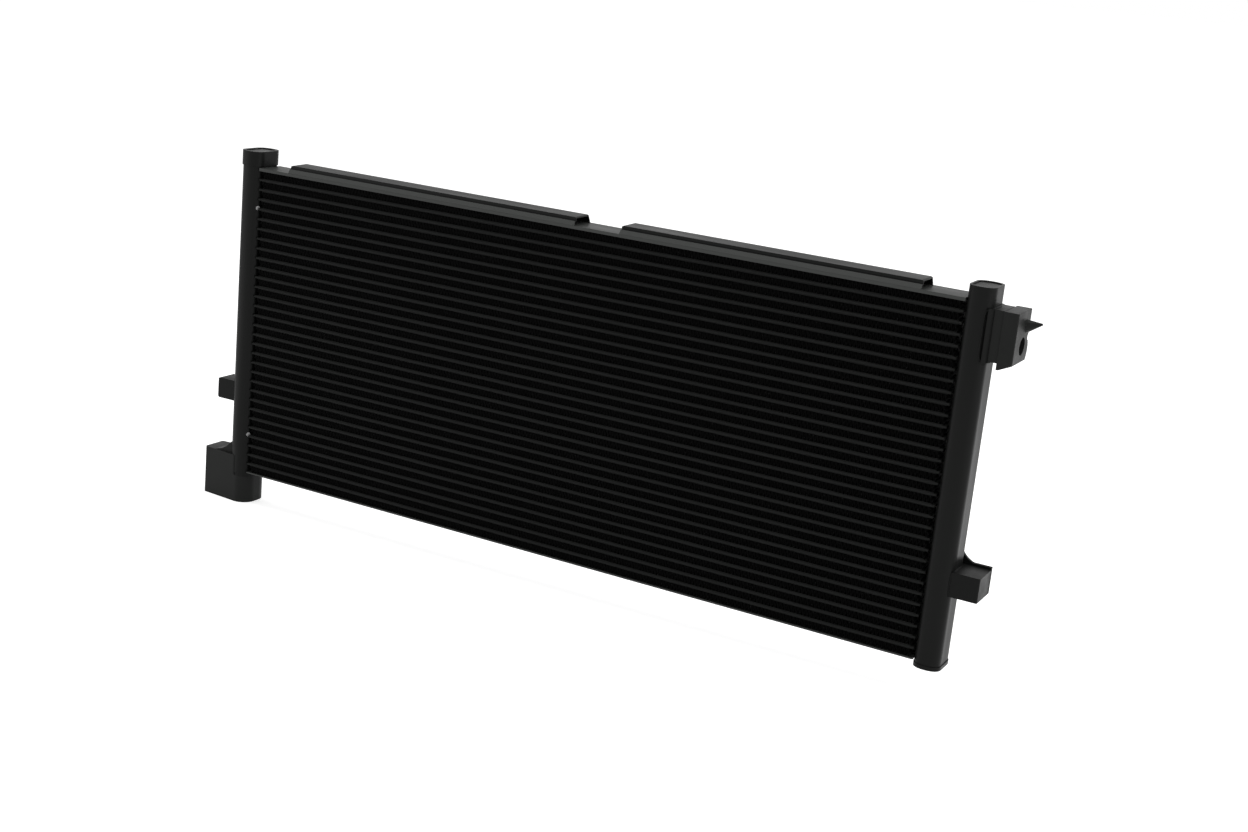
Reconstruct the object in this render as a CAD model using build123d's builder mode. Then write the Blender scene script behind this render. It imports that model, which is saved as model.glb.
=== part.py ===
from build123d import *
from math import cos, radians, sin, sqrt
import os

os.makedirs("parts", exist_ok=True)

# Driving dimensions, millimetres
# Origin: middle of the bottom side plate's underside. X runs along the tubes,
# Y from the front face of the core to its back, Z up.

# Core of flat tubes and corrugated fins
TUBE_COUNT = 31
TUBE_PITCH = 8.0
TUBE_THICK = 1.8
TUBE_DEPTH = 25.6
TUBE_WALL = 0.35
TUBE_NOSE = 0.55  # bevel of the tube's front and back edges
TUBE_NECK_DEPTH = 14.0  # tube ends are notched to this depth to enter the tanks
TUBE_END_INSET = 3.5  # tube ends stop this far short of the tank axis
SHOULDER_GAP = 0.3
FIN_HEIGHT = TUBE_PITCH - TUBE_THICK
FIN_DEPTH = 23.6
FIN_SHEET = 0.25
FIN_FOLDS = 11
FIN_HALF_LENGTH = 294.0
PLATE_THICK = 1.1
TOP_PLATE_THICK = 2.4
PLATE_DEPTH = 25.6

# Refrigerant passes, counted in tubes from the top
PASS_TUBES = (14, 10, 7)

# Tanks: an extruded tube with flat sides and gently domed front and back
TANK_X = 306.4
TANK_HALF_X = 9.6
TANK_HALF_Y = 14.5
TANK_CORNER_R = 7.0
TANK_DOME_R = 15.0
TANK_WALL = 1.3
TANK_BOTTOM_RIGHT = -1.4
TANK_BOTTOM_LEFT = -4.0
TANK_TOP_LEFT = 267.6
TANK_TOP_RIGHT = 264.4

# Tank ends
CAP_FLANGE = 2.6
CAP_SPIGOT = 4.0
CAP_RIM = 1.8
CAP_DISH = 0.8
BOTTOM_CAP_FLANGE = 3.0
BOTTOM_CAP_LIP = 0.5
HOOD_WALL = 0.8
HOOD_SKIRT = 9.0
HOOD_ROOF = 2.8
BAFFLE_THICK = 1.5

# Top rails, folded hat sections on the top side plate
RAIL_SHEET = 1.1
RAIL_LEFT_SPAN = (-267.5, -3.5)
RAIL_RIGHT_SPAN = (35.0, 265.6)
RAIL_FOOT_Y = 12.8
RAIL_BAND_Y = -10.8
RAIL_BAND_RISE = 3.2
RAIL_STEP = 1.0
RAIL_TOP_Y = (-9.2, 9.0)
RAIL_TOP_RISE = (5.9, 6.3)
RAIL_END_CHAMFER = 2.0

# Inlet connector block on the right tank
INLET_FACE_X = 334.2
INLET_TOP = 253.2
INLET_BOTTOM = 218.0
INLET_HEEL_DROP = 4.2
INLET_HEEL_X = 325.4
INLET_FRONT = -12.6
INLET_BACK = 17.5
INLET_EDGE = 0.6
LOBE_OUT = 1.9
LOBE_LOW = 220.0
LOBE_SHOULDER = 7.0
LOBE_FOOT = 9.0
LOBE_TOP = 231.6
NOTCH_TOP = 236.6
NOTCH_DEPTH = 2.2
INLET_PORT_R = 6.2
INLET_PORT_Y = 5.0
INLET_PORT_Z = 229.0
INLET_PORT_DEPTH = 12.0
INLET_PASSAGE_R = 4.6
SADDLE_THICK = 2.4
SADDLE_TOP = 253.4
SADDLE_BOTTOM = 216.8
SADDLE_FRONT = 313.8
NECK_X = 323.8
NECK_SIDE = 0.9
SPIKE_ROOT_R = 5.0
SPIKE_SIDES = 14
SPIKE_TAPER = 19.5  # degrees off the spike's axis
SPIKE_LENGTH = 12.0
SPIKE_SINK = 1.5
SPIKE_Y = 11.0
SPIKE_Z = 241.9
SPIKE_TILT = 0.26  # rise of the spike's axis for each millimetre outwards

# Lower bracket on the right tank
BRACKET_FACE_X = 335.2
BRACKET_TOP = 69.0
BRACKET_BOTTOM = 51.2
BRACKET_FRONT = -11.5
BRACKET_BACK = 13.5
BRACKET_HOLE_R = 2.5
BRACKET_HOLE_X = 325.5
BRACKET_HOLE_DEPTH = 16.0
GUSSET_THICK = 2.5
GUSSET_RISE = 1.8
GUSSET_TANK_RISE = 12.0
GUSSET_SHOULDER_X = 322.0
GUSSET_INNER_X = 311.9
GUSSET_SAG = (0.8, 1.6)
BRACKET_EDGE = 0.8
BRACKET_CLEARANCE = 0.6

# Tab on the left tank
TAB_FACE_X = -334.6
TAB_TOP = 75.2
TAB_BOTTOM = 58.0
TAB_FRONT = -8.0
TAB_BACK = 10.0
TAB_EDGE_R = 1.5
TAB_HOLE_R = 2.5
TAB_HOLE_X = -325.4
TAB_HOLE_DEPTH = 12.0

# Outlet connector block under the left tank
OUTLET_FACE_X = -343.6
OUTLET_HALF_DEPTH = 11.0
OUTLET_CHEEK_X = -308.4  # where the flanks run into the tank's front and back
OUTLET_CHEEK_Y = 14.4
OUTLET_TOE_X = -295.9
OUTLET_TOE_HALF = 3.5
OUTLET_TOE_BEND = (-299.2, 11.2)
OUTLET_TOP = 13.4
OUTLET_SHOULDER = 23.0
OUTLET_BOTTOM = -27.0
OUTLET_CORE_GAP = 1.2
OUTLET_SHOULDER_INSET = 5.0
OUTLET_RAMP_SAG = 2.4
OUTLET_EDGE = 1.0
OUTLET_PORT_R = 7.4
OUTLET_PORT_Z = -14.0
OUTLET_PORT_DEPTH = 18.0
OUTLET_PASSAGE_R = 6.0

# Small plugs in the inner front corner of the left tank
PLUG_R = 1.7
PLUG_PROUD = 0.5
PLUG_LENGTH = 1.7
PLUG_TURN = 35.0  # degrees from the tube direction towards the front
PLUG_HEIGHTS = (33.4, 224.9)

# Worked out from the driving dimensions
TUBE_TIP_X = TANK_X - TUBE_END_INSET
CORE_TOP = PLATE_THICK + (TUBE_COUNT + 1) * FIN_HEIGHT + TUBE_COUNT * TUBE_THICK
PLATE_TOP = CORE_TOP + TOP_PLATE_THICK
PLATE_HALF_LENGTH = TANK_X - TANK_HALF_X
LAYER_COUNT = TUBE_COUNT + 1


def tube_height(number):
    """Height of a tube's middle; tube 1 is the top one."""
    return CORE_TOP - FIN_HEIGHT - TUBE_THICK / 2 - (number - 1) * TUBE_PITCH


def layer_height(number):
    """Height of a fin layer's underside; layer 1 is the top one."""
    return CORE_TOP - FIN_HEIGHT - (number - 1) * TUBE_PITCH


def tank_outline(inset):
    """Closed tank section about the origin, moved inwards by inset.

    Flat sides run into corner arcs, and the corner arcs run tangent into a
    shallow dome at the front and one at the back.
    """
    corner_x = TANK_HALF_X - TANK_CORNER_R
    dome_y = TANK_HALF_Y - TANK_DOME_R
    reach = TANK_DOME_R - TANK_CORNER_R
    corner_y = dome_y + sqrt(reach**2 - corner_x**2)
    dome_r = TANK_DOME_R - inset
    corner_r = TANK_CORNER_R - inset
    side = corner_x + corner_r
    touch = (dome_r * corner_x / reach, dome_y + dome_r * (corner_y - dome_y) / reach)
    bend = (
        corner_x + corner_r * sqrt(0.5),
        corner_y + corner_r * sqrt(0.5),
    )
    top = (0, dome_y + dome_r)
    with BuildSketch(mode=Mode.PRIVATE) as section:
        with BuildLine():
            Line((side, -corner_y), (side, corner_y))
            ThreePointArc((side, corner_y), bend, touch)
            ThreePointArc(touch, top, (-touch[0], touch[1]))
            ThreePointArc((-touch[0], touch[1]), (-bend[0], bend[1]), (-side, corner_y))
            Line((-side, corner_y), (-side, -corner_y))
            ThreePointArc((-side, -corner_y), (-bend[0], -bend[1]), (-touch[0], -touch[1]))
            ThreePointArc((-touch[0], -touch[1]), (0, -top[1]), (touch[0], -touch[1]))
            ThreePointArc((touch[0], -touch[1]), (bend[0], -bend[1]), (side, -corner_y))
        make_face()
    return section.sketch


def inlet_axis(x):
    """Plane across the inlet port at x, facing outwards."""
    return Plane(origin=(x, INLET_PORT_Y, INLET_PORT_Z), x_dir=(0, 1, 0), z_dir=(1, 0, 0))


def plug_axis(height):
    """Plane across a plug at its outer face, square to the tank's inner front corner."""
    corner_x = TANK_HALF_X - TANK_CORNER_R
    reach = TANK_DOME_R - TANK_CORNER_R
    corner_y = TANK_HALF_Y - TANK_DOME_R + sqrt(reach**2 - corner_x**2)
    out = Vector(cos(radians(PLUG_TURN)), -sin(radians(PLUG_TURN)), 0)
    centre = Vector(corner_x - TANK_X, -corner_y, height)
    return Plane(origin=centre + out * (TANK_CORNER_R + PLUG_PROUD), z_dir=out)


def save(piece, name):
    piece.part.label = name
    export_step(piece.part, f"parts/{name}.step")


# Flat tubes, notched at both ends
def cross_plane(x, height):
    """Plane across the condenser at x: its own x runs along Y and its y runs up."""
    return Plane(origin=(x, 0, height), x_dir=(0, 1, 0), z_dir=(1, 0, 0))


def flat_tube(number):
    height = tube_height(number)
    shoulder_x = TANK_X - TANK_HALF_X - SHOULDER_GAP
    channel_depth = TUBE_NECK_DEPTH - 2 * TUBE_WALL
    channel_height = TUBE_THICK - 2 * TUBE_WALL
    with BuildPart() as tube:
        with BuildSketch(cross_plane(-shoulder_x, height)):
            Rectangle(TUBE_DEPTH, TUBE_THICK)
        extrude(amount=2 * shoulder_x)
        chamfer(tube.edges().filter_by(Axis.X), length=TUBE_NOSE)
        with BuildSketch(cross_plane(-TUBE_TIP_X, height)):
            Rectangle(TUBE_NECK_DEPTH, TUBE_THICK)
        extrude(amount=2 * TUBE_TIP_X)
        with BuildSketch(cross_plane(-TUBE_TIP_X, height)):
            Rectangle(channel_depth, channel_height)
        extrude(amount=2 * TUBE_TIP_X, mode=Mode.SUBTRACT)
    return tube


# Corrugated fins: one folded sheet between each pair of tubes
def fin_profile(number):
    """Zigzag of a sheet whose crests touch the tubes above and below."""
    low = layer_height(number)
    rise = FIN_HEIGHT - FIN_SHEET
    step = 2 * FIN_HALF_LENGTH / FIN_FOLDS
    under = [
        (-FIN_HALF_LENGTH + fold * step, low + rise * (fold % 2))
        for fold in range(FIN_FOLDS + 1)
    ]
    over = [(x, z + FIN_SHEET) for x, z in reversed(under)]
    return under + over


def fin_stack(first, last):
    with BuildPart() as stack:
        for number in range(first, last + 1):
            with BuildSketch(Plane.XZ.offset(-FIN_DEPTH / 2)):
                with BuildLine():
                    Polyline(fin_profile(number), close=True)
                make_face()
            extrude(amount=FIN_DEPTH)
    return stack


# Tanks, slotted for every tube
def tank(side, bottom, top):
    outer = tank_outline(0)
    inner = tank_outline(TANK_WALL)
    with BuildPart() as shell:
        with BuildSketch(Plane.XY.offset(bottom)):
            with Locations((side * TANK_X, 0)):
                add(outer)
                add(inner, mode=Mode.SUBTRACT)
        extrude(amount=top - bottom)
        heights = [(0, tube_height(number)) for number in range(1, TUBE_COUNT + 1)]
        with BuildSketch(cross_plane(0, 0)):
            with Locations(heights):
                Rectangle(TUBE_NECK_DEPTH, TUBE_THICK)
        extrude(amount=side * TUBE_TIP_X, mode=Mode.SUBTRACT)
        if side > 0:
            # Way in from the inlet port
            with BuildSketch(inlet_axis(TANK_X)):
                Circle(INLET_PASSAGE_R)
            extrude(amount=TANK_HALF_X * 2, mode=Mode.SUBTRACT)
        else:
            for height in PLUG_HEIGHTS:
                with BuildSketch(plug_axis(height)):
                    Circle(PLUG_R)
                extrude(amount=-PLUG_LENGTH - TANK_WALL, mode=Mode.SUBTRACT)
    return shell


# Caps and baffles
def plug_cap(side, top, flange, lip, up):
    """Flange with a spigot that seats inside the tank; up is 1 for a top cap.

    A top cap has a dished face inside its rim.
    """
    with BuildPart() as cap:
        with BuildSketch(Plane.XY.offset(top)):
            with Locations((side * TANK_X, 0)):
                add(tank_outline(-lip))
        extrude(amount=up * flange)
        with BuildSketch(Plane.XY.offset(top)):
            with Locations((side * TANK_X, 0)):
                add(tank_outline(TANK_WALL))
        extrude(amount=-up * CAP_SPIGOT)
        if up > 0:
            with BuildSketch(Plane.XY.offset(top + flange - CAP_DISH)):
                with Locations((side * TANK_X, 0)):
                    add(tank_outline(CAP_RIM))
            extrude(amount=CAP_DISH, mode=Mode.SUBTRACT)
    return cap


def hood_cap():
    """Cap with a skirt over the left tank's top end."""
    with BuildPart() as cap:
        with BuildSketch(Plane.XY.offset(TANK_TOP_LEFT - HOOD_SKIRT)):
            with Locations((-TANK_X, 0)):
                add(tank_outline(-HOOD_WALL))
        extrude(amount=HOOD_SKIRT + HOOD_ROOF)
        with BuildSketch(Plane.XY.offset(TANK_TOP_LEFT - HOOD_SKIRT)):
            with Locations((-TANK_X, 0)):
                add(tank_outline(0))
        extrude(amount=HOOD_SKIRT, mode=Mode.SUBTRACT)
        with BuildSketch(Plane.XY.offset(TANK_TOP_LEFT + HOOD_ROOF - CAP_DISH)):
            with Locations((-TANK_X, 0)):
                add(tank_outline(CAP_RIM))
        extrude(amount=CAP_DISH, mode=Mode.SUBTRACT)
    return cap


def baffle(side, below_tube):
    """Partition inside a tank, halfway between two tubes."""
    height = tube_height(below_tube) - TUBE_PITCH / 2
    with BuildPart() as wall:
        with BuildSketch(Plane.XY.offset(height - BAFFLE_THICK / 2)):
            with Locations((side * TANK_X, 0)):
                add(tank_outline(TANK_WALL))
        extrude(amount=BAFFLE_THICK)
    return wall


# Side plates above and below the core
def side_plate(bottom, thick):
    with BuildPart() as plate:
        with BuildSketch(Plane.XY.offset(bottom)):
            Rectangle(2 * PLATE_HALF_LENGTH, PLATE_DEPTH)
        extrude(amount=thick)
    return plate


# Folded rails on the top side plate
def top_rail(span):
    section_plane = Plane(origin=(span[0], 0, PLATE_TOP), x_dir=(0, 1, 0), z_dir=(1, 0, 0))
    length = span[1] - span[0]
    outline = [
        (-RAIL_FOOT_Y, 0),
        (RAIL_BAND_Y, RAIL_BAND_RISE),
        (RAIL_BAND_Y + RAIL_STEP, RAIL_BAND_RISE),
        (RAIL_TOP_Y[0], RAIL_TOP_RISE[0]),
        (RAIL_TOP_Y[1], RAIL_TOP_RISE[1]),
        (RAIL_FOOT_Y, 0),
    ]
    with BuildPart() as rail:
        with BuildSketch(section_plane) as section:
            with BuildLine():
                Polyline(outline, close=True)
            make_face()
            offset(amount=-RAIL_SHEET, kind=Kind.INTERSECTION, mode=Mode.SUBTRACT)
            inner_width = 2 * (RAIL_FOOT_Y - 2 * RAIL_SHEET)
            with Locations((0, RAIL_SHEET / 2)):
                Rectangle(inner_width, RAIL_SHEET, mode=Mode.SUBTRACT)
        extrude(amount=length)
        crest = rail.faces().sort_by(Axis.Z)[-1].edges().filter_by(
            lambda edge: abs(edge.tangent_at(0).X) < 0.5
        )
        chamfer(crest, length=RAIL_END_CHAMFER / 2, length2=RAIL_SHEET / 2)
    return rail


# Inlet connector: a saddle brazed round the tank, and the block on it
def inlet_saddle():
    """Curved plate that follows the tank's outer side."""
    with BuildPart() as saddle:
        with BuildSketch(Plane.XY.offset(SADDLE_BOTTOM)):
            with Locations((TANK_X, 0)):
                add(tank_outline(-SADDLE_THICK))
                add(tank_outline(0), mode=Mode.SUBTRACT)
            with Locations((SADDLE_FRONT - TANK_HALF_X * 2, 0)):
                Rectangle(TANK_HALF_X * 4, TANK_HALF_Y * 3, mode=Mode.SUBTRACT)
        extrude(amount=SADDLE_TOP - SADDLE_BOTTOM)
        with BuildSketch(inlet_axis(TANK_X)):
            Circle(INLET_PASSAGE_R)
        extrude(amount=TANK_HALF_X * 2, mode=Mode.SUBTRACT)
    return saddle


def inlet_block():
    """Machined block with the inlet port, a rounded lobe and a locating spike."""
    lobe_right = INLET_BACK + LOBE_OUT
    heel = INLET_BOTTOM - INLET_HEEL_DROP
    face = Plane(origin=(NECK_X, 0, 0), x_dir=(0, 1, 0), z_dir=(1, 0, 0))
    with BuildPart() as block:
        with BuildSketch(face):
            with BuildLine():
                Polyline(
                    (lobe_right - LOBE_FOOT, heel),
                    (INLET_FRONT, heel),
                    (INLET_FRONT, INLET_TOP),
                    (INLET_BACK, INLET_TOP),
                    (INLET_BACK, NOTCH_TOP),
                )
                ThreePointArc(
                    (INLET_BACK, NOTCH_TOP),
                    (INLET_BACK - NOTCH_DEPTH, (NOTCH_TOP + LOBE_TOP) / 2),
                    (INLET_BACK, LOBE_TOP),
                )
                ThreePointArc(
                    (INLET_BACK, LOBE_TOP),
                    (lobe_right, LOBE_LOW + LOBE_SHOULDER),
                    (lobe_right - LOBE_FOOT, heel),
                )
            make_face()
        extrude(amount=INLET_FACE_X - NECK_X)
        chamfer(
            block.faces().sort_by(Axis.X)[-1].edges().filter_by(Axis.Z), length=INLET_EDGE
        )
        # Slanted foot that rises from the heel to the outer face
        with BuildSketch(Plane.XZ.offset(-2 * INLET_BACK)):
            with BuildLine():
                Polyline(
                    (INLET_HEEL_X, heel),
                    (INLET_FACE_X, INLET_BOTTOM),
                    (INLET_FACE_X, heel),
                    close=True,
                )
            make_face()
        extrude(amount=4 * INLET_BACK, mode=Mode.SUBTRACT)
        # Neck, a little narrower, that reaches in to the saddle
        with BuildSketch(Plane.XY.offset(INLET_BOTTOM)):
            with Locations(((TANK_X + NECK_X) / 2, 0)):
                Rectangle(NECK_X - TANK_X, 2 * (-INLET_FRONT - NECK_SIDE))
        extrude(amount=SADDLE_TOP - INLET_BOTTOM)
        with BuildSketch(Plane.XY.offset(INLET_BOTTOM - 1)):
            with Locations((TANK_X, 0)):
                add(tank_outline(-SADDLE_THICK))
        extrude(amount=INLET_TOP - INLET_BOTTOM + 2, mode=Mode.SUBTRACT)
        # Port, and the passage from it to the tank
        mouth = inlet_axis(INLET_FACE_X)
        with BuildSketch(mouth):
            Circle(INLET_PORT_R)
        extrude(amount=-INLET_PORT_DEPTH, mode=Mode.SUBTRACT)
        with BuildSketch(mouth):
            Circle(INLET_PASSAGE_R)
        extrude(amount=TANK_X - INLET_FACE_X, mode=Mode.SUBTRACT)
        # Spike: a round taper whose upper line stays nearly level
        axis = Vector(1, 0, SPIKE_TILT)
        root = Plane(origin=(INLET_FACE_X - SPIKE_SINK, SPIKE_Y, SPIKE_Z), z_dir=axis)
        with BuildSketch(root):
            RegularPolygon(SPIKE_ROOT_R, SPIKE_SIDES)
        extrude(amount=SPIKE_LENGTH, taper=SPIKE_TAPER)
    return block


# Lower bracket of the right tank
def lower_bracket():
    with BuildPart() as bracket:
        with BuildSketch(Plane.XY.offset(BRACKET_BOTTOM)):
            with Locations(((TANK_X + BRACKET_FACE_X) / 2, (BRACKET_FRONT + BRACKET_BACK) / 2)):
                Rectangle(BRACKET_FACE_X - TANK_X, BRACKET_BACK - BRACKET_FRONT)
            with Locations((TANK_X, 0)):
                add(tank_outline(0), mode=Mode.SUBTRACT)
            with Locations((TANK_X - TANK_HALF_X, 0)):
                Rectangle(TANK_HALF_X * 2, TANK_HALF_Y * 3, mode=Mode.SUBTRACT)
        extrude(amount=BRACKET_TOP - BRACKET_BOTTOM)
        chamfer(
            bracket.faces().sort_by(Axis.X)[-1].edges().filter_by(Axis.Z), length=BRACKET_EDGE
        )
        hole = Plane(
            origin=(BRACKET_HOLE_X, BRACKET_BACK, (BRACKET_TOP + BRACKET_BOTTOM) / 2),
            x_dir=(1, 0, 0),
            z_dir=(0, 1, 0),
        )
        with BuildSketch(hole):
            Circle(BRACKET_HOLE_R)
        extrude(amount=-BRACKET_HOLE_DEPTH, mode=Mode.SUBTRACT)
    return bracket


def bracket_plate():
    """Back plate of the lower bracket, with a gusset that runs up the tank."""
    foot = BRACKET_BOTTOM
    brow = BRACKET_TOP + GUSSET_RISE
    crest = BRACKET_TOP + GUSSET_TANK_RISE
    sag = (
        (GUSSET_INNER_X + GUSSET_SHOULDER_X) / 2 - GUSSET_SAG[0],
        (brow + crest) / 2 - GUSSET_SAG[1],
    )
    with BuildPart() as plate:
        with BuildSketch(Plane.XZ.offset(-BRACKET_BACK - GUSSET_THICK)):
            with BuildLine():
                Polyline(
                    (GUSSET_INNER_X, crest),
                    (GUSSET_INNER_X, foot),
                    (BRACKET_FACE_X, foot),
                    (BRACKET_FACE_X, brow),
                    (GUSSET_SHOULDER_X, brow),
                )
                ThreePointArc((GUSSET_SHOULDER_X, brow), sag, (GUSSET_INNER_X, crest))
            make_face()
            with Locations((BRACKET_HOLE_X, (BRACKET_TOP + BRACKET_BOTTOM) / 2)):
                Circle(BRACKET_HOLE_R + BRACKET_CLEARANCE, mode=Mode.SUBTRACT)
        extrude(amount=GUSSET_THICK)
        with BuildSketch(Plane.XY.offset(foot - 1)):
            with Locations((TANK_X, 0)):
                add(tank_outline(0))
        extrude(amount=crest - foot + 2, mode=Mode.SUBTRACT)
    return plate


# Tab on the left tank, with a fixing hole in its back
def tank_tab():
    with BuildPart() as tab:
        with BuildSketch(Plane.XY.offset(TAB_BOTTOM)):
            with Locations(((TAB_FACE_X - TANK_X) / 2, (TAB_FRONT + TAB_BACK) / 2)):
                Rectangle(-TAB_FACE_X - TANK_X, TAB_BACK - TAB_FRONT)
            with Locations((-TANK_X, 0)):
                add(tank_outline(0), mode=Mode.SUBTRACT)
        extrude(amount=TAB_TOP - TAB_BOTTOM)
        fillet(tab.faces().sort_by(Axis.X)[0].edges().filter_by(Axis.Y), radius=TAB_EDGE_R)
        hole = Plane(
            origin=(TAB_HOLE_X, TAB_BACK, (TAB_TOP + TAB_BOTTOM) / 2),
            x_dir=(1, 0, 0),
            z_dir=(0, 1, 0),
        )
        with BuildSketch(hole):
            Circle(TAB_HOLE_R)
        extrude(amount=-TAB_HOLE_DEPTH, mode=Mode.SUBTRACT)
    return tab


# Outlet connector block, which closes the left tank's foot
def outlet_block():
    """Block whose flanks run flush into the tank, with a rounded toe under the core."""
    with BuildPart() as block:
        with BuildSketch(Plane.XY.offset(OUTLET_BOTTOM)):
            Polygon(
                (OUTLET_FACE_X, -OUTLET_HALF_DEPTH),
                (OUTLET_CHEEK_X, -OUTLET_CHEEK_Y),
                (OUTLET_CHEEK_X, OUTLET_CHEEK_Y),
                (OUTLET_FACE_X, OUTLET_HALF_DEPTH),
                align=None,
            )
        extrude(amount=OUTLET_TOP - OUTLET_BOTTOM)
        chamfer(
            block.faces().sort_by(Axis.X)[0].edges().filter_by(Axis.Z), length=OUTLET_EDGE
        )
        # Rounded toe, which stays below the core
        with BuildSketch(Plane.XY.offset(OUTLET_BOTTOM)):
            with BuildLine():
                Polyline(
                    (OUTLET_TOE_X, OUTLET_TOE_HALF),
                    (OUTLET_TOE_X, -OUTLET_TOE_HALF),
                )
                ThreePointArc(
                    (OUTLET_TOE_X, -OUTLET_TOE_HALF),
                    (OUTLET_TOE_BEND[0], -OUTLET_TOE_BEND[1]),
                    (OUTLET_CHEEK_X, -OUTLET_CHEEK_Y),
                )
                Line((OUTLET_CHEEK_X, -OUTLET_CHEEK_Y), (OUTLET_CHEEK_X, OUTLET_CHEEK_Y))
                ThreePointArc(
                    (OUTLET_CHEEK_X, OUTLET_CHEEK_Y),
                    OUTLET_TOE_BEND,
                    (OUTLET_TOE_X, OUTLET_TOE_HALF),
                )
            make_face()
        extrude(amount=-OUTLET_CORE_GAP - OUTLET_BOTTOM)
        # Shoulder that ramps from the outer end up to the tank
        ramp_foot = (OUTLET_FACE_X + OUTLET_SHOULDER_INSET, OUTLET_TOP)
        ramp_head = (-TANK_X - TANK_HALF_X, OUTLET_SHOULDER)
        with BuildSketch(Plane.XZ.offset(-OUTLET_HALF_DEPTH)):
            with BuildLine():
                Polyline(
                    ramp_head,
                    (-TANK_X, OUTLET_SHOULDER),
                    (-TANK_X, 0),
                    (OUTLET_FACE_X + OUTLET_SHOULDER_INSET, 0),
                    ramp_foot,
                )
                ThreePointArc(
                    ramp_foot,
                    (
                        (ramp_foot[0] + ramp_head[0]) / 2 + OUTLET_RAMP_SAG,
                        (ramp_foot[1] + ramp_head[1]) / 2 - OUTLET_RAMP_SAG,
                    ),
                    ramp_head,
                )
            make_face()
        extrude(amount=2 * OUTLET_HALF_DEPTH)
        # Seat of the tank's foot, and the chamber under it
        with BuildSketch(Plane.XY.offset(TANK_BOTTOM_LEFT)):
            with Locations((-TANK_X, 0)):
                add(tank_outline(0))
        extrude(amount=OUTLET_SHOULDER * 2, mode=Mode.SUBTRACT)
        with BuildSketch(Plane.XY.offset(OUTLET_PORT_Z)):
            with Locations((-TANK_X, 0)):
                Circle(OUTLET_PASSAGE_R)
        extrude(amount=TANK_BOTTOM_LEFT - OUTLET_PORT_Z, mode=Mode.SUBTRACT)
        mouth = Plane(
            origin=(OUTLET_FACE_X, 0, OUTLET_PORT_Z), x_dir=(0, 1, 0), z_dir=(1, 0, 0)
        )
        with BuildSketch(mouth):
            Circle(OUTLET_PORT_R)
        extrude(amount=OUTLET_PORT_DEPTH, mode=Mode.SUBTRACT)
        with BuildSketch(mouth):
            Circle(OUTLET_PASSAGE_R)
        extrude(amount=-OUTLET_FACE_X - TANK_X, mode=Mode.SUBTRACT)
    return block


# Small round plugs in the left tank's front
def tank_plugs():
    with BuildPart() as plugs:
        for height in PLUG_HEIGHTS:
            with BuildSketch(plug_axis(height)):
                Circle(PLUG_R)
            extrude(amount=-PLUG_LENGTH)
    return plugs


# Build and write every piece
for number in range(1, TUBE_COUNT + 1):
    save(flat_tube(number), f"tube_{number:02d}")

first_layer = 1
for index, tubes in enumerate(PASS_TUBES, start=1):
    last_layer = first_layer + tubes - 1
    if index == len(PASS_TUBES):
        last_layer = LAYER_COUNT
    save(fin_stack(first_layer, last_layer), f"fins_pass_{index}")
    first_layer = last_layer + 1

save(tank(-1, TANK_BOTTOM_LEFT, TANK_TOP_LEFT), "tank_left")
save(tank(1, TANK_BOTTOM_RIGHT, TANK_TOP_RIGHT), "tank_right")
save(hood_cap(), "top_cap_left")
save(plug_cap(1, TANK_TOP_RIGHT, CAP_FLANGE, 0, 1), "top_cap_right")
save(
    plug_cap(1, TANK_BOTTOM_RIGHT, BOTTOM_CAP_FLANGE, BOTTOM_CAP_LIP, -1),
    "bottom_cap_right",
)
save(baffle(1, PASS_TUBES[0]), "baffle_right")
save(baffle(-1, PASS_TUBES[0] + PASS_TUBES[1]), "baffle_left")
save(side_plate(CORE_TOP, TOP_PLATE_THICK), "top_plate")
save(side_plate(0, PLATE_THICK), "bottom_plate")
save(top_rail(RAIL_LEFT_SPAN), "top_rail_left")
save(top_rail(RAIL_RIGHT_SPAN), "top_rail_right")
save(inlet_saddle(), "inlet_saddle")
save(inlet_block(), "inlet_block")
save(lower_bracket(), "lower_bracket")
save(bracket_plate(), "lower_bracket_plate")
save(tank_tab(), "tank_tab")
save(outlet_block(), "outlet_block")
save(tank_plugs(), "tank_plugs")
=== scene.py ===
"""Finishes of an air conditioning condenser: black paint, corrugated fins, brazing, light and camera."""

import math

import bpy
import numpy as np
from mathutils import Matrix, Vector


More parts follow.
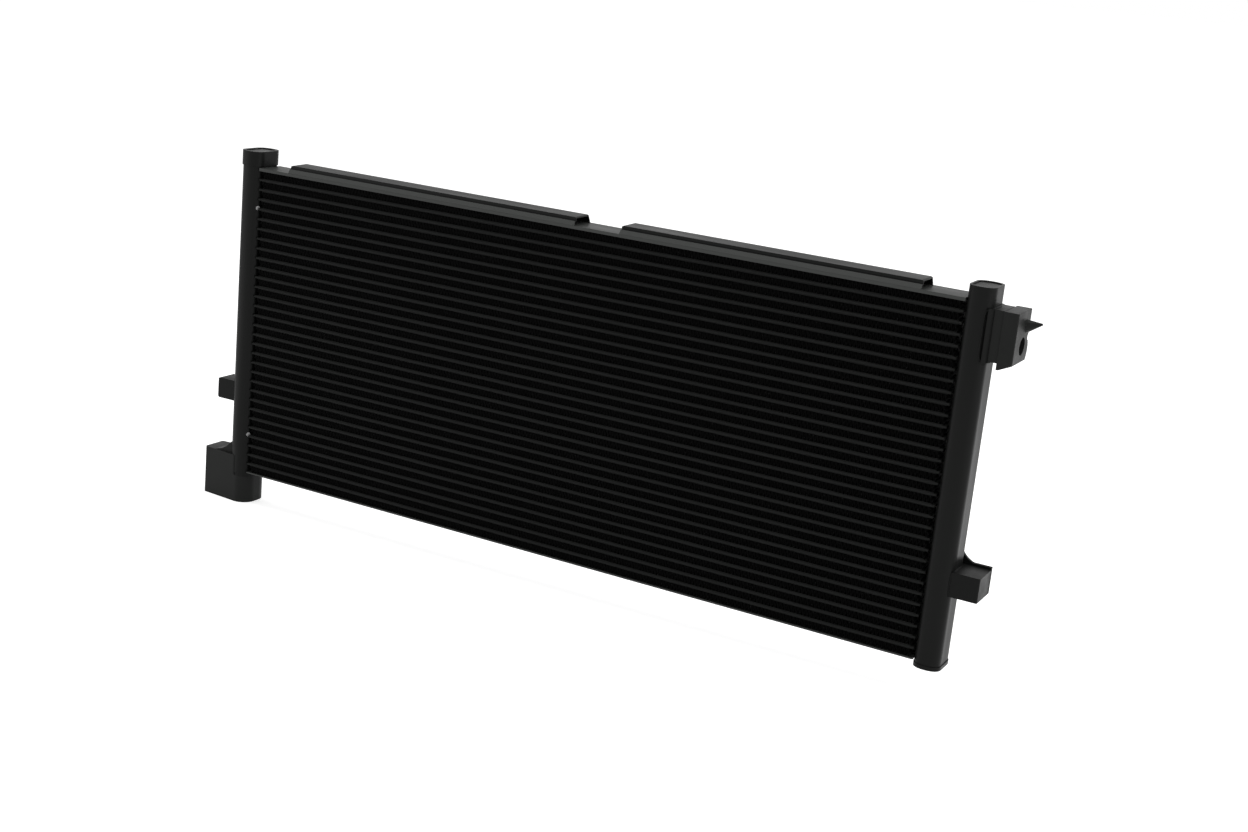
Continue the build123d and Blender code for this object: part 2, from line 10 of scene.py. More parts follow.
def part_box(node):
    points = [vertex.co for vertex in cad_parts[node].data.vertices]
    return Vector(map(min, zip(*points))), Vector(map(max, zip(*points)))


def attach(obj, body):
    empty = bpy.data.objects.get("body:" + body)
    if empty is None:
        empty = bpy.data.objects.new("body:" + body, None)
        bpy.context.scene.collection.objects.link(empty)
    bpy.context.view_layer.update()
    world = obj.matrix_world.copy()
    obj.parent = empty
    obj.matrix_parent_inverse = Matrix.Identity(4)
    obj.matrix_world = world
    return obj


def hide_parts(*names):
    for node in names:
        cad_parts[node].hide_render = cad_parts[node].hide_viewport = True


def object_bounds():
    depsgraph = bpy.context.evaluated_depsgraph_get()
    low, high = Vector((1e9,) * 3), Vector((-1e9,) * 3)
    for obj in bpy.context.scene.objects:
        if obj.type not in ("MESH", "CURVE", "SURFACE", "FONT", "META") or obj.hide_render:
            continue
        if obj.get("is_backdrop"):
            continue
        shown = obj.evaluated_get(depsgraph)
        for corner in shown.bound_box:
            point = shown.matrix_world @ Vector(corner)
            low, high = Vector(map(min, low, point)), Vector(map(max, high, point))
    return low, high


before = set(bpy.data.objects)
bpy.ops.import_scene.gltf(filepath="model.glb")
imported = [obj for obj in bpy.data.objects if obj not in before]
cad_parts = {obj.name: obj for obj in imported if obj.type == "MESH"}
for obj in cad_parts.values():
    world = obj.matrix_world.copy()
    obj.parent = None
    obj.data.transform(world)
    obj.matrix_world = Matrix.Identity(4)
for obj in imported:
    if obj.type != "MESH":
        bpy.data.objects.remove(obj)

bl_info = {
    "name": "Condenser Finishes",
    "version": (1, 0, 0),
    "blender": (4, 5, 0),
    "location": "3D View > Sidebar > Condenser",
    "description": "Dresses a parallel-flow condenser with fins, brazing, paint, light and a camera",
    "category": "Object",
}

MM = 0.001
PAINT_GLOSS = 0.085
FIN_NODES = ("fins_pass_1", "fins_pass_2", "fins_pass_3")
TUBE_NODES = tuple(sorted(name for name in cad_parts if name.startswith("tube_")))

# Radii of the tanks' section: the corners, and the flatter front and back
TANK_CORNER_R = 7.0 * MM
TANK_DOME_R = 15.0 * MM
# Depth places on the top rails: the sloping band, which gets a painted highlight, and the groove behind
# it, which gets painted shade
RAIL_BAND = (-12.9 * MM, -10.8 * MM)
RAIL_GROOVE = (-10.8 * MM, -9.6 * MM)
# Depth place of the top plate's front edge, which gets a painted highlight
PLATE_EDGE = (-12.9 * MM, -12.6 * MM)
# Corners of a bar's section
BAR_CORNERS = 4
# Rings along a line of filler metal, and its unevenness's shift for each metre of height
LINE_RINGS = 60
LINE_SHIFT = 900.0
# How far a line stays behind a tube's nose, and how deep its root lies in the tube
LINE_SETBACK = 0.6 * MM
LINE_ROOT = 0.02 * MM
# Furthest forward or back that a bead goes on a tank
BEAD_REACH = 13.6 * MM
# What clouds in the paint add to its roughness, and multiply its tone by, at the least and most
ROUGH_SPREAD = (-0.07, 0.09)
TONE_SPREAD = (0.8, 1.45)
# Tones of the aluminium inside the tanks and of the plugs
INNER_METAL = (0.6, 0.6, 0.6)
PLUG_METAL = (0.2, 0.2, 0.2)
# Half width of the floor, and the strength of its own light where it is seen
FLOOR_REACH = 30.0
FLOOR_LIGHT = 0.6
# Name, place, aim, width, height and power of each soft lamp, in metres and watts
LAMPS = (
    ("key_right", (1.9, -0.5, 0.75), (0.25, 0, 0.12), 1.6, 1.4, 12.0),
    ("top_soft", (0.1, 0.25, 1.7), (0, 0, 0.2), 2.0, 1.2, 16.0),
    ("left_soft", (-1.7, -1.2, 0.7), (0, 0, 0.12), 0.9, 1.5, 6.0),
)


# Sizes and colours that a user would change


class CondenserFinSettings(bpy.types.PropertyGroup):
    pitch: bpy.props.FloatProperty(
        name="Fold pitch",
        description="Length along the tube of one whole fold, up and down",
        default=2.8 * MM,
        min=1.0 * MM,
        unit="LENGTH",
    )
    sheet: bpy.props.FloatProperty(
        name="Sheet",
        description="Thickness of the folded sheet",
        default=0.16 * MM,
        unit="LENGTH",
    )
    squareness: bpy.props.FloatProperty(
        name="Squareness",
        description="How flat the crests are: 1 is nearly a sine, 4 is nearly square",
        default=2.0,
        min=0.5,
        max=5.0,
    )
    steps: bpy.props.IntProperty(
        name="Steps",
        description="Straight steps in one whole fold",
        default=8,
        min=6,
        max=16,
    )


class CondenserBrazeSettings(bpy.types.PropertyGroup):
    line_rise: bpy.props.FloatProperty(
        name="Line rise",
        description="Height of the filler metal along the edges of each tube",
        default=0.5 * MM,
        unit="LENGTH",
    )
    line_depth: bpy.props.FloatProperty(
        name="Line depth",
        description="How far the filler metal reaches in between the tubes",
        default=1.1 * MM,
        unit="LENGTH",
    )
    bead_radius: bpy.props.FloatProperty(
        name="Bead radius",
        description="Half width of the filler metal round the blocks and brackets",
        default=0.6 * MM,
        unit="LENGTH",
    )


class CondenserPaintSettings(bpy.types.PropertyGroup):
    tank_tone: bpy.props.FloatVectorProperty(
        name="Tank paint",
        description="Satin black on the extruded tanks and their caps",
        default=(0.0042, 0.0044, 0.0042),
        subtype="COLOR",
    )
    tube_tone: bpy.props.FloatVectorProperty(
        name="Tube paint",
        description="Satin black on the flat tubes",
        default=(0.0055, 0.0058, 0.0055),
        subtype="COLOR",
    )
    fin_tone: bpy.props.FloatVectorProperty(
        name="Fin paint",
        description="Thin matt black on the fins",
        default=(0.0025, 0.0025, 0.0025),
        subtype="COLOR",
    )
    # Lighter than the other black paint as painted light: the tone stands in for the light from above on
    # the plates' top faces
    plate_tone_with_painted_light: bpy.props.FloatVectorProperty(
        name="Plate paint",
        description="Satin black on the side plates",
        default=(0.022, 0.023, 0.022),
        subtype="COLOR",
    )
    rail_tone: bpy.props.FloatVectorProperty(
        name="Rail paint",
        description="Satin black on the top rails",
        default=(0.0055, 0.0058, 0.0055),
        subtype="COLOR",
    )
    # Painted highlight: a lighter tone on the rails' sloping front band and the top plate's front edge,
    # standing in for the light from above that falls on them
    painted_highlight_tone: bpy.props.FloatVectorProperty(
        name="Rubbed paint",
        description="Thinner, rubbed paint on the front bends of the rails and the top plate",
        default=(0.05, 0.052, 0.05),
        subtype="COLOR",
    )
    # Lighter than the bracket paint as painted light: the tone stands in for the light on the connector
    # blocks' top and right faces
    connector_tone_with_painted_light: bpy.props.FloatVectorProperty(
        name="Connector paint",
        description="Satin black on the machined connector blocks",
        default=(0.0095, 0.0099, 0.0095),
        subtype="COLOR",
    )
    bracket_tone: bpy.props.FloatVectorProperty(
        name="Bracket paint",
        description="Satin black on the saddle, the brackets and the filler round them",
        default=(0.0035, 0.0037, 0.0035),
        subtype="COLOR",
    )


class CondenserStageSettings(bpy.types.PropertyGroup):
    floor_drop: bpy.props.FloatProperty(
        name="Floor drop",
        description="Height of the condenser's lowest point above the floor",
        default=0.0,
        unit="LENGTH",
    )
    floor_tone: bpy.props.FloatVectorProperty(
        name="Floor",
        description="Pale studio floor",
        default=(0.82, 0.82, 0.82),
        subtype="COLOR",
    )
    ambient: bpy.props.FloatProperty(
        name="Ambient",
        description="Strength of the plain white surroundings on the object",
        default=0.62,
    )
    eye: bpy.props.FloatVectorProperty(
        name="Camera place",
        description="Camera position in the condenser's own frame",
        default=(0.6354, -1.1498, 0.4669),
        subtype="TRANSLATION",
        unit="LENGTH",
    )
    azimuth: bpy.props.FloatProperty(
        name="Azimuth",
        description="Turn of the camera to the right of straight in front",
        default=math.radians(27.10),
        subtype="ANGLE",
    )
    elevation: bpy.props.FloatProperty(
        name="Elevation",
        description="Height angle that the camera looks down from",
        default=math.radians(15.00),
        subtype="ANGLE",
    )
    roll: bpy.props.FloatProperty(
        name="Roll",
        description="Lean of the camera about its own line of sight",
        default=math.radians(5.65),
        subtype="ANGLE",
    )
    lens: bpy.props.FloatProperty(
        name="Lens",
        description="Focal length on a 36 mm wide sensor",
        default=51.65,
        unit="CAMERA",
    )


# Mesh helpers


def put_mesh(name, points, quads):
    """Makes an object from an array of points and an array of four-cornered faces."""
    mesh = bpy.data.meshes.new(name)
    mesh.vertices.add(len(points))
    mesh.vertices.foreach_set("co", np.asarray(points, dtype=np.float32).ravel())
    mesh.loops.add(quads.size)
    mesh.loops.foreach_set("vertex_index", quads.astype(np.int32).ravel())
    mesh.polygons.add(len(quads))
    mesh.polygons.foreach_set("loop_start", np.arange(len(quads), dtype=np.int32) * 4)
    mesh.update(calc_edges=True)
    mesh.validate()
    piece = bpy.data.objects.new(name, mesh)
    bpy.context.scene.collection.objects.link(piece)
    return piece


def bar_faces(rings, start):
    """Faces of a four-cornered bar with that many rings, closed at both ends.

    Ring r, corner c joins to ring r + 1 and corner c + 1, counted round the ring, and
    start is the number of the bar's first point.
    """
    ring = np.arange(rings - 1)[:, None] * BAR_CORNERS
    corner = np.arange(BAR_CORNERS)
    after = (corner + 1) % BAR_CORNERS
    ahead = ring + BAR_CORNERS
    side = np.stack([ring + corner, ring + after, ahead + after, ahead + corner], axis=-1)
    first, last = corner[::-1], corner + (rings - 1) * BAR_CORNERS
    return np.concatenate([side.reshape(-1, BAR_CORNERS), [first], [last]]) + start


# Fins


def fin_layer(low, high, half_length, half_depth, settings):
    """Points of one folded sheet between two tubes.

    The sheet's middle line is z = middle + swing * tanh(k sin(2 pi x / pitch)) / tanh(k),
    which is a wave with flat crests and steep walls. Half the thickness is set off along
    the line's normal on both sides, and the section is carried across the depth. The
    swing keeps the crests a quarter of a sheet short of the tubes.
    """
    turns = round(2 * half_length / settings.pitch)
    x = np.linspace(-half_length, half_length, turns * settings.steps + 1)
    phase = 2 * np.pi * turns * (x + half_length) / (2 * half_length)
    k = settings.squareness
    swing = (high - low) / 2 - settings.sheet * 0.75
    z = (low + high) / 2 + swing * np.tanh(k * np.sin(phase)) / np.tanh(k)
    slope = np.gradient(z, x)
    scale = settings.sheet / 2 / np.sqrt(1 + slope**2)
    up_x, up_z = -slope * scale, scale
    front, back = np.full_like(x, -half_depth), np.full_like(x, half_depth)
    corners = [
        (x + up_x, front, z + up_z),
        (x - up_x, front, z - up_z),
        (x - up_x, back, z - up_z),
        (x + up_x, back, z + up_z),
    ]
    return np.stack([np.stack(c, axis=-1) for c in corners], axis=1).reshape(-1, 3)


def layer_gaps():
    """Lowest and highest point of each gap that a fin layer fills, from the top down."""
    edges = [(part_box(name)[0][2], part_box(name)[1][2]) for name in TUBE_NODES]
    edges.sort(reverse=True)
    tops = [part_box("top_plate")[0][2]] + [low for low, high in edges]
    bottoms = [high for low, high in edges] + [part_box("bottom_plate")[1][2]]
    return list(zip(bottoms, tops))


# Filler metal of the brazed joints


def tube_line(ends, low, high, side, settings):
    """Corner points of the two bars of filler along one edge of a flat tube.

    Each bar has a four-cornered section that slopes up from the tube's face. Its rise is
    multiplied by 1 + 0.18 sin(0.9 n + n0) cos(0.37 n), with n the ring's number and n0
    the height times LINE_SHIFT, so the line is a little uneven and no two are alike.
    ends are the places along X where the fins stop, low and high the tube's own box, and
    side is -1 at the front and 1 at the back.
    """
    x = np.linspace(*ends, LINE_RINGS)
    ring = np.arange(LINE_RINGS)
    rise = settings.line_rise
    bars = []
    for face, way in ((high[2], 1), (low[2], -1)):
        uneven = 1 + 0.18 * np.sin(0.9 * ring + LINE_SHIFT * face) * np.cos(0.37 * ring)
        lift = face + way * rise * uneven
        root = np.full_like(x, face - way * LINE_ROOT)
        outer = high[1] - LINE_SETBACK
        inner = outer - settings.line_depth
        corners = [(outer - rise, lift), (outer, root), (inner, root), (inner, lift)]
        if way * side > 0:
            corners.reverse()
        points = [np.stack([x, np.full_like(x, side * y), z], axis=-1) for y, z in corners]
        bars.append(np.stack(points, axis=1).reshape(-1, 3))
    return bars


def tank_section(side, steps=240):
    """Points and outward normals down a tank's outer side, as seen from above.

    The outline is arcs that run into each other with no kink, so the point whose normal
    is at angle a is the centre of its arc plus the arc's radius times (cos a, sin a).
    side is 1 for the right tank and -1 for the left one.
    """
    low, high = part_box("tank_right" if side > 0 else "tank_left")
    half_x, half_y = (high[0] - low[0]) / 2, high[1]
    reach = TANK_DOME_R - TANK_CORNER_R
    corner_x = half_x - TANK_CORNER_R
    dome_y = half_y - TANK_DOME_R
    corner_y = dome_y + math.sqrt(reach**2 - corner_x**2)
    angle = np.linspace(-math.pi / 2, math.pi / 2, steps)
    on_dome = np.abs(np.sin(angle)) > (corner_y - dome_y) / reach
    radius = np.where(on_dome, TANK_DOME_R, TANK_CORNER_R)
    x = np.where(on_dome, 0, corner_x) + radius * np.cos(angle)
    y = np.sign(angle) * np.where(on_dome, dome_y, corner_y) + radius * np.sin(angle)
    points = np.stack([(low[0] + high[0]) / 2 + side * x, y], axis=-1)
    normals = np.stack([side * np.cos(angle), np.sin(angle)], axis=-1)
    return points, normals


def joint_bead(side, span, heights, radius, rings=200, corners=8):
    """Points and faces of a bead of filler round a piece that sits on a tank's outer side.

    On the unrolled tank the bead is a rounded rectangle, whose distance from its middle
    at angle t is (|cos t / a|^8 + |sin t / b|^8)^(-1/8). It is rolled back onto the tank,
    and a circle of radius r (1 + 0.10 sin 9t + 0.06 sin(31t + 1)) is carried along it.
    span is the joint's front and back, and heights its bottom and top.
    """
    points, normals = tank_section(side)
    steps = np.linalg.norm(np.diff(points, axis=0), axis=1)
    run = np.concatenate([[0], np.cumsum(steps)])
    front, back = np.interp(span, points[:, 1], run)
    half_run, half_height = (back - front) / 2, (heights[1] - heights[0]) / 2
    t = np.linspace(0, 2 * math.pi, rings, endpoint=False)
    far = (np.abs(np.cos(t) / half_run) ** 8 + np.abs(np.sin(t) / half_height) ** 8) ** -0.125
    place = (front + back) / 2 + far * np.cos(t)
    height = sum(heights) / 2 + far * np.sin(t)
    centre = np.stack([np.interp(place, run, c) for c in points.T] + [height], axis=-1)
    out = np.stack([np.interp(place, run, c) for c in normals.T] + [0 * t], axis=-1)
    ahead = np.roll(centre, -1, axis=0) - np.roll(centre, 1, axis=0)
    ahead /= np.linalg.norm(ahead, axis=1, keepdims=True)
    across = np.cross(ahead, out)
    size = radius * (1 + 0.10 * np.sin(9 * t) + 0.06 * np.sin(31 * t + 1))
    turn = np.linspace(0, 2 * math.pi, corners, endpoint=False)
    circle = np.cos(turn)[:, None] * out[:, None] + np.sin(turn)[:, None] * across[:, None]
    verts = (centre[:, None] + size[:, None, None] * circle).reshape(-1, 3)
    ring, corner = np.arange(rings)[:, None], np.arange(corners)[None, :]
    here, after = ring * corners, (ring + 1) % rings * corners
    beside = (corner + 1) % corners
    faces = np.stack(
        [here + corner, after + corner, after + beside, here + beside], axis=-1
    ).reshape(-1, 4)
    return verts, faces[:, ::side]


# Materials


def shader_link(tree, source, target):
    """Joins one node's output to another node's input."""
    tree.links.new(source, target)


def black_paint(
    name, tone, rough, peel, peel_size, specular=PAINT_GLOSS, streak=(1, 1, 1), edge=0.0
):
    """Satin black paint with orange peel, a soft cloudy gloss and thin dust.

    peel is the strength of the orange peel and peel_size its width. streak stretches the
    cloudiness along an axis, as drawing or extruding leaves it. edge is the radius that
    sharp corners seem to have, or 0 for none.
    """
    material = bpy.data.materials.new(name)
    material.use_nodes = True
    tree = material.node_tree
    shader = tree.nodes["Principled BSDF"]
    shader.inputs["Specular IOR Level"].default_value = specular
    place = tree.nodes.new("ShaderNodeTexCoord")
    stretch = tree.nodes.new("ShaderNodeMapping")
    stretch.inputs["Scale"].default_value = streak
    shader_link(tree, place.outputs["Object"], stretch.inputs["Vector"])

    cloud = tree.nodes.new("ShaderNodeTexNoise")
    cloud.inputs["Scale"].default_value = 55.0
    cloud.inputs["Detail"].default_value = 5.0
    cloud.inputs["Roughness"].default_value = 0.6
    shader_link(tree, stretch.outputs["Vector"], cloud.inputs["Vector"])
    gloss = tree.nodes.new("ShaderNodeMapRange")
    gloss.inputs["From Min"].default_value = 0.3
    gloss.inputs["From Max"].default_value = 0.7
    gloss.inputs["To Min"].default_value = rough + ROUGH_SPREAD[0]
    gloss.inputs["To Max"].default_value = rough + ROUGH_SPREAD[1]
    shader_link(tree, cloud.outputs["Fac"], gloss.inputs["Value"])
    shader_link(tree, gloss.outputs["Result"], shader.inputs["Roughness"])

    dust = tree.nodes.new("ShaderNodeMixRGB")
    for socket, share in zip(("Color1", "Color2"), TONE_SPREAD):
        dust.inputs[socket].default_value = (*[share * c for c in tone], 1)
    shader_link(tree, cloud.outputs["Fac"], dust.inputs["Fac"])
    shader_link(tree, dust.outputs["Color"], shader.inputs["Base Color"])

    grain = tree.nodes.new("ShaderNodeTexNoise")
    grain.inputs["Scale"].default_value = 1.0 / peel_size
    grain.inputs["Detail"].default_value = 3.0
    shader_link(tree, place.outputs["Object"], grain.inputs["Vector"])
    bump = tree.nodes.new("ShaderNodeBump")
    bump.inputs["Strength"].default_value = peel
    bump.inputs["Distance"].default_value = 0.0002
    shader_link(tree, grain.outputs["Fac"], bump.inputs["Height"])
    if edge:
        soft = tree.nodes.new("ShaderNodeBevel")
        soft.samples = 4
        soft.inputs["Radius"].default_value = edge
        shader_link(tree, soft.outputs["Normal"], bump.inputs["Normal"])
    shader_link(tree, bump.outputs["Normal"], shader.inputs["Normal"])
    return material


def louvred_paint(name, tone):
    """Matt black on a fin, with rows of fine louvres across its depth as relief."""
    material = black_paint(name, tone, rough=0.7, peel=0.2, peel_size=0.6 * MM, specular=0.05)
    tree = material.node_tree
    bump = next(n for n in tree.nodes if n.type == "BUMP")
    place = next(n for n in tree.nodes if n.type == "TEX_COORD")
    louvre = tree.nodes.new("ShaderNodeTexWave")
    louvre.bands_direction = "Y"
    louvre.inputs["Scale"].default_value = 300.0
    shader_link(tree, place.outputs["Object"], louvre.inputs["Vector"])
    ridge = tree.nodes.new("ShaderNodeBump")
    ridge.inputs["Strength"].default_value = 0.5
    ridge.inputs["Distance"].default_value = 0.0003
    shader_link(tree, louvre.outputs["Fac"], ridge.inputs["Height"])
    shader_link(tree, ridge.outputs["Normal"], bump.inputs["Normal"])
    return material


def band_mask(tree, span):
    """A node output that is 1 where the depth lies in the span, and 0 elsewhere."""
    place = next(n for n in tree.nodes if n.type == "TEX_COORD")
    axes = tree.nodes.new("ShaderNodeSeparateXYZ")
    inside = tree.nodes.new("ShaderNodeMath")
    inside.operation = "COMPARE"
    inside.inputs[1].default_value = (span[0] + span[1]) / 2
    inside.inputs[2].default_value = (span[1] - span[0]) / 2
    shader_link(tree, place.outputs["Object"], axes.inputs["Vector"])
    shader_link(tree, axes.outputs["Y"], inside.inputs[0])
    return inside.outputs[0]


def banded_paint(name, tone, bands):
    """Black paint that changes tone in bands of depth, each a span and its own tone; here the bands lay
    painted highlights and painted shade.
    """
    material = black_paint(
        name, tone, rough=0.42, peel=0.3, peel_size=1.5 * MM, streak=(0.2, 1, 1), edge=0.4 * MM
    )
    tree = material.node_tree
    shader = tree.nodes["Principled BSDF"]
    colour = shader.inputs["Base Color"].links[0].from_socket
    for span, shade in bands:
        mix = tree.nodes.new("ShaderNodeMixRGB")
        mix.inputs["Color2"].default_value = (*shade, 1)
        shader_link(tree, band_mask(tree, span), mix.inputs["Fac"])
        shader_link(tree, colour, mix.inputs["Color1"])
        colour = mix.outputs["Color"]
    shader_link(tree, colour, shader.inputs["Base Color"])
    return material


def bare_metal(name, tone, rough):
    """Bare aluminium with a fine uneven grain."""
    material = black_paint(name, tone, rough, peel=0.25, peel_size=0.8 * MM, specular=0.5)
    material.node_tree.nodes["Principled BSDF"].inputs["Metallic"].default_value = 1.0
    return material


def paint_parts(names, material):
    """Gives each of these condenser parts the material in all its slots."""
    for name in names:
        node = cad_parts[name]
        for place in node.material_slots:
            place.material = material
        if not node.material_slots:
            node.data.materials.append(material)


def finish_piece(piece, paint):
    """Paints a new piece and fixes it to the condenser."""
    piece.data.materials.append(paint)
    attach(piece, "root")


# Operators


class CONDENSER_OT_fins(bpy.types.Operator):
    """Folds the fin sheets between the tubes, one piece for each refrigerant pass"""

    bl_idname = "condenser.fins"
    bl_label = "Fold Fins"

    def execute(self, context):
        settings = context.scene.condenser_fins
        paint = louvred_paint("fin_black", context.scene.condenser_paint.fin_tone)
        gaps = layer_gaps()
        for name in FIN_NODES:
            low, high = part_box(name)
            middle = [g for g in gaps if low[2] < (g[0] + g[1]) / 2 < high[2]]
            points, faces, start = [], [], 0
            for bottom, top in middle:
                layer = fin_layer(bottom, top, high[0], high[1], settings)
                faces.append(bar_faces(len(layer) // BAR_CORNERS, start))
                points.append(layer)
                start += len(layer)
            piece = put_mesh(f"folded_{name}", np.concatenate(points), np.concatenate(faces))
            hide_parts(name)
            finish_piece(piece, paint)
        return {"FINISHED"}


class CONDENSER_OT_tubes(bpy.types.Operator):
    """Paints the flat tubes"""

    bl_idname = "condenser.tubes"
    bl_label = "Paint Tubes"

    def execute(self, context):
        tone = context.scene.condenser_paint.tube_tone
        paint = black_paint(
            "tube_black", tone, rough=0.44, peel=0.3, peel_size=1.2 * MM, streak=(0.25, 1, 1)
        )
        paint_parts(TUBE_NODES, paint)
        return {"FINISHED"}


class CONDENSER_OT_tanks(bpy.types.Operator):
    """Paints the tanks, their caps and plugs, and leaves the inside bare"""

    bl_idname = "condenser.tanks"
    bl_label = "Paint Tanks"

    def execute(self, context):
        tone = context.scene.condenser_paint.tank_tone
        satin = {"rough": 0.38, "peel": 0.35, "peel_size": 1.5 * MM}
        tank = black_paint("tank_black", tone, **satin, streak=(1, 1, 0.12))
        cap = black_paint("cap_black", tone, **satin, edge=0.4 * MM)
        inner = bare_metal("inner_metal", INNER_METAL, rough=0.4)
        plug = bare_metal("plug_metal", PLUG_METAL, rough=0.5)
        paint_parts(("tank_left", "tank_right"), tank)
        paint_parts(("top_cap_left", "top_cap_right", "bottom_cap_right"), cap)
        paint_parts(("baffle_left", "baffle_right"), inner)
        paint_parts(("tank_plugs",), plug)
        return {"FINISHED"}


class CONDENSER_OT_plates(bpy.types.Operator):
    """Paints the side plates and the top rails"""

    bl_idname = "condenser.plates"
    bl_label = "Paint Plates"

    def execute(self, context):
        settings = context.scene.condenser_paint
        # Painted highlight tone for the top plate's front edge and the rails' sloping band
        painted_highlight = settings.painted_highlight_tone
        # The plates' tone is raised above the other black paint as painted light on their lit top faces
        plate = banded_paint("plate_black", settings.plate_tone_with_painted_light, [(PLATE_EDGE, painted_highlight)])
        # The rails' groove takes the darker fin tone as painted shade in the recess
        bands = [(RAIL_BAND, painted_highlight), (RAIL_GROOVE, settings.fin_tone)]
        rail = banded_paint("rail_black", settings.rail_tone, bands)
        paint_parts(("top_plate", "bottom_plate"), plate)
        paint_parts(("top_rail_left", "top_rail_right"), rail)
        return {"FINISHED"}


class CONDENSER_OT_blocks(bpy.types.Operator):
    """Paints the connector blocks and brackets"""

    bl_idname = "condenser.blocks"
    bl_label = "Paint Blocks"

    def execute(self, context):
        settings = context.scene.condenser_paint
        # The connector tone is lighter than the bracket tone as painted light on the blocks' lit faces
        connector, bracket = (
            black_paint(name, tone, rough=0.42, peel=0.4, peel_size=0.9 * MM, edge=0.6 * MM)
            for name, tone in (
                ("connector_black", settings.connector_tone_with_painted_light),
                ("bracket_black", settings.bracket_tone),
            )
        )
        paint_parts(("inlet_block", "outlet_block"), connector)
        brackets = ("inlet_saddle", "lower_bracket", "lower_bracket_plate", "tank_tab")
        paint_parts(brackets, bracket)
        return {"FINISHED"}


class CONDENSER_OT_brazing(bpy.types.Operator):
    """Lays the filler metal along the tubes and round what sits on the tanks"""

    bl_idname = "condenser.brazing"
    bl_label = "Lay Filler Metal"

    def execute(self, context):
        settings = context.scene.condenser_braze
        paints = context.scene.condenser_paint
        line_paint = black_paint(
            "line_black", paints.tube_tone, rough=0.5, peel=0.3, peel_size=0.8 * MM
        )
        bead_paint = black_paint(
            "bead_black", paints.bracket_tone, rough=0.4, peel=0.5, peel_size=0.8 * MM
        )
        ends = [corner[0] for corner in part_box(FIN_NODES[0])]
        bars = []
        for name in TUBE_NODES:
            low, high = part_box(name)
            for side in (-1, 1):
                bars += tube_line(ends, low, high, side, settings)
        faces = [bar_faces(LINE_RINGS, len(bar) * number) for number, bar in enumerate(bars)]
        lines = put_mesh("tube_lines", np.concatenate(bars), np.concatenate(faces))
        finish_piece(lines, line_paint)

        radius = settings.bead_radius
        for name, node, side in (
            ("saddle_bead", "inlet_saddle", 1),
            ("bracket_bead", "lower_bracket", 1),
            ("tab_bead", "tank_tab", -1),
        ):
            low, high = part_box(node)
            heights = (low[2] + radius / 2, high[2] - radius / 2)
            span = (max(low[1], -BEAD_REACH), min(high[1], BEAD_REACH))
            points, faces = joint_bead(side, span, heights, radius)
            bead = put_mesh(name, points, faces)
            bead.data.shade_smooth()
            finish_piece(bead, bead_paint)
        return {"FINISHED"}


class CONDENSER_OT_stage(bpy.types.Operator):
    """Sets up the pale floor, the white surroundings, the lamps and the camera"""

    bl_idname = "condenser.stage"
    bl_label = "Build Stage"

    def execute(self, context):
        settings = context.scene.condenser_stage
        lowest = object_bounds()[0][2]
        build_floor(lowest - settings.floor_drop, settings)
        build_world(context.scene, settings)
        for lamp in LAMPS:
            build_lamp(context.scene, *lamp)
        build_camera(context.scene, settings)
        context.scene.view_settings.view_transform = "Standard"
        return {"FINISHED"}


# Stage


def seen_directly(tree):
    """A node output that is 1 for camera, glossy and transmission rays."""
    path = tree.nodes.new("ShaderNodeLightPath")
    first = tree.nodes.new("ShaderNodeMath")
    second = tree.nodes.new("ShaderNodeMath")
    for node in (first, second):
        node.operation = "MAXIMUM"
    shader_link(tree, path.outputs["Is Camera Ray"], first.inputs[0])
    shader_link(tree, path.outputs["Is Glossy Ray"], first.inputs[1])
    shader_link(tree, first.outputs[0], second.inputs[0])
    shader_link(tree, path.outputs["Is Transmission Ray"], second.inputs[1])
    return second.outputs[0]


def build_floor(height, settings):
    """A square floor whose own light makes it white where the lamps fall on it."""
    square = [(-1, -1), (1, -1), (1, 1), (-1, 1)]
    points = np.array([(FLOOR_REACH * x, FLOOR_REACH * y, height) for x, y in square])
    floor = put_mesh("studio_floor", points, np.array([[0, 1, 2, 3]]))
    material = bpy.data.materials.new("studio_floor")
    material.use_nodes = True
    tree = material.node_tree
    shader = tree.nodes["Principled BSDF"]
    shader.inputs["Base Color"].default_value = (*settings.floor_tone, 1)
    shader.inputs["Roughness"].default_value = 0.9
    shader.inputs["Specular IOR Level"].default_value = 0.0
    shader.inputs["Emission Color"].default_value = (1, 1, 1, 1)
    lift = tree.nodes.new("ShaderNodeMath")
    lift.operation = "MULTIPLY"
    lift.inputs[1].default_value = FLOOR_LIGHT
    shader_link(tree, seen_directly(tree), lift.inputs[0])
    shader_link(tree, lift.outputs[0], shader.inputs["Emission Strength"])
    floor.data.materials.append(material)
    floor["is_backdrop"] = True


def build_world(scene, settings):
    """Plain surroundings: white where they are seen, softer where they only light."""
    world = bpy.data.worlds.new("studio")
    scene.world = world
    world.use_nodes = True
    tree = world.node_tree
    light = tree.nodes["Background"]
    light.inputs["Color"].default_value = (1, 1, 1, 1)
    light.inputs["Strength"].default_value = settings.ambient
    seen = tree.nodes.new("ShaderNodeBackground")
    seen.inputs["Color"].default_value = (1, 1, 1, 1)
    seen.inputs["Strength"].default_value = 1.0
    mix = tree.nodes.new("ShaderNodeMixShader")
    shader_link(tree, seen_directly(tree), mix.inputs["Fac"])
    shader_link(tree, light.outputs["Background"], mix.inputs[1])
    shader_link(tree, seen.outputs["Background"], mix.inputs[2])
    shader_link(tree, mix.outputs["Shader"], tree.nodes["World Output"].inputs["Surface"])


def build_lamp(scene, name, place, aim, width, height, power):
    """A flat, soft lamp that shines from its place towards its aim."""
    data = bpy.data.lights.new(name, "AREA")
    data.shape = "RECTANGLE"
    data.size = width
    data.size_y = height
    data.energy = power
    lamp = bpy.data.objects.new(name, data)
    direction = Vector(aim) - Vector(place)
    turn = direction.to_track_quat("-Z", "Y")
    lamp.matrix_world = Matrix.Translation(place) @ turn.to_matrix().to_4x4()
    scene.collection.objects.link(lamp)


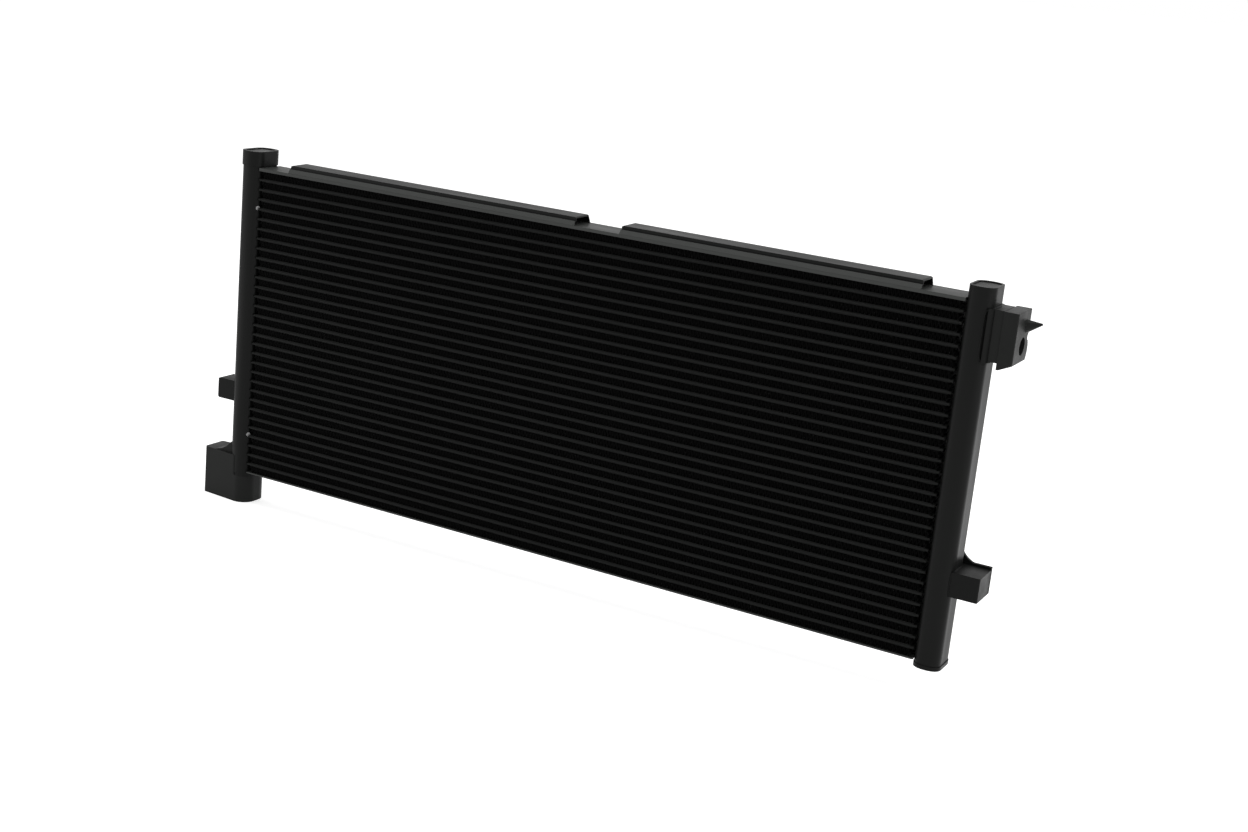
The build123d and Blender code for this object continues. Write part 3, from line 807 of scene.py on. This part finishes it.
def build_camera(scene, settings):
    """Camera that looks along its azimuth and elevation, leaning by its roll."""
    data = bpy.data.cameras.new("camera")
    data.sensor_width = 36.0
    data.sensor_fit = "HORIZONTAL"
    data.lens = settings.lens
    data.clip_start = 0.01
    data.clip_end = 100.0
    camera = bpy.data.objects.new("camera", data)
    az, el, roll = settings.azimuth, settings.elevation, settings.roll
    back = Vector((math.sin(az) * math.cos(el), -math.cos(az) * math.cos(el), math.sin(el)))
    level = Vector((0, 0, 1)).cross(back).normalized()
    upright = back.cross(level)
    right = level * math.cos(roll) + upright * math.sin(roll)
    up = -level * math.sin(roll) + upright * math.cos(roll)
    turn = Matrix((right, up, back)).transposed().to_4x4()
    camera.matrix_world = Matrix.Translation(settings.eye) @ turn
    scene.collection.objects.link(camera)
    scene.camera = camera


# Panel and registration


class CONDENSER_PT_sidebar(bpy.types.Panel):
    """Lists the condenser's settings and steps"""

    bl_idname = "CONDENSER_PT_sidebar"
    bl_label = "Condenser"
    bl_space_type = "VIEW_3D"
    bl_region_type = "UI"
    bl_category = "Condenser"

    def draw(self, context):
        scene = context.scene
        for group in (getattr(scene, name) for name in GROUPS):
            box = self.layout.box()
            for name in group.__annotations__:
                box.prop(group, name)
        for step in STEPS:
            self.layout.operator(step.bl_idname)


STEPS = (
    CONDENSER_OT_fins,
    CONDENSER_OT_tubes,
    CONDENSER_OT_tanks,
    CONDENSER_OT_plates,
    CONDENSER_OT_blocks,
    CONDENSER_OT_brazing,
    CONDENSER_OT_stage,
)
GROUPS = {
    "condenser_fins": CondenserFinSettings,
    "condenser_braze": CondenserBrazeSettings,
    "condenser_paint": CondenserPaintSettings,
    "condenser_stage": CondenserStageSettings,
}


def register():
    for name, group in GROUPS.items():
        bpy.utils.register_class(group)
        setattr(bpy.types.Scene, name, bpy.props.PointerProperty(type=group))
    for step in STEPS + (CONDENSER_PT_sidebar,):
        bpy.utils.register_class(step)


def unregister():
    for step in reversed(STEPS + (CONDENSER_PT_sidebar,)):
        bpy.utils.unregister_class(step)
    for name, group in reversed(GROUPS.items()):
        delattr(bpy.types.Scene, name)
        bpy.utils.unregister_class(group)


def main():
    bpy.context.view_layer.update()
    register()
    bpy.ops.condenser.fins()
    bpy.ops.condenser.tubes()
    bpy.ops.condenser.tanks()
    bpy.ops.condenser.plates()
    bpy.ops.condenser.blocks()
    bpy.ops.condenser.brazing()
    bpy.ops.condenser.stage()


if __name__ == "__main__":
    main()
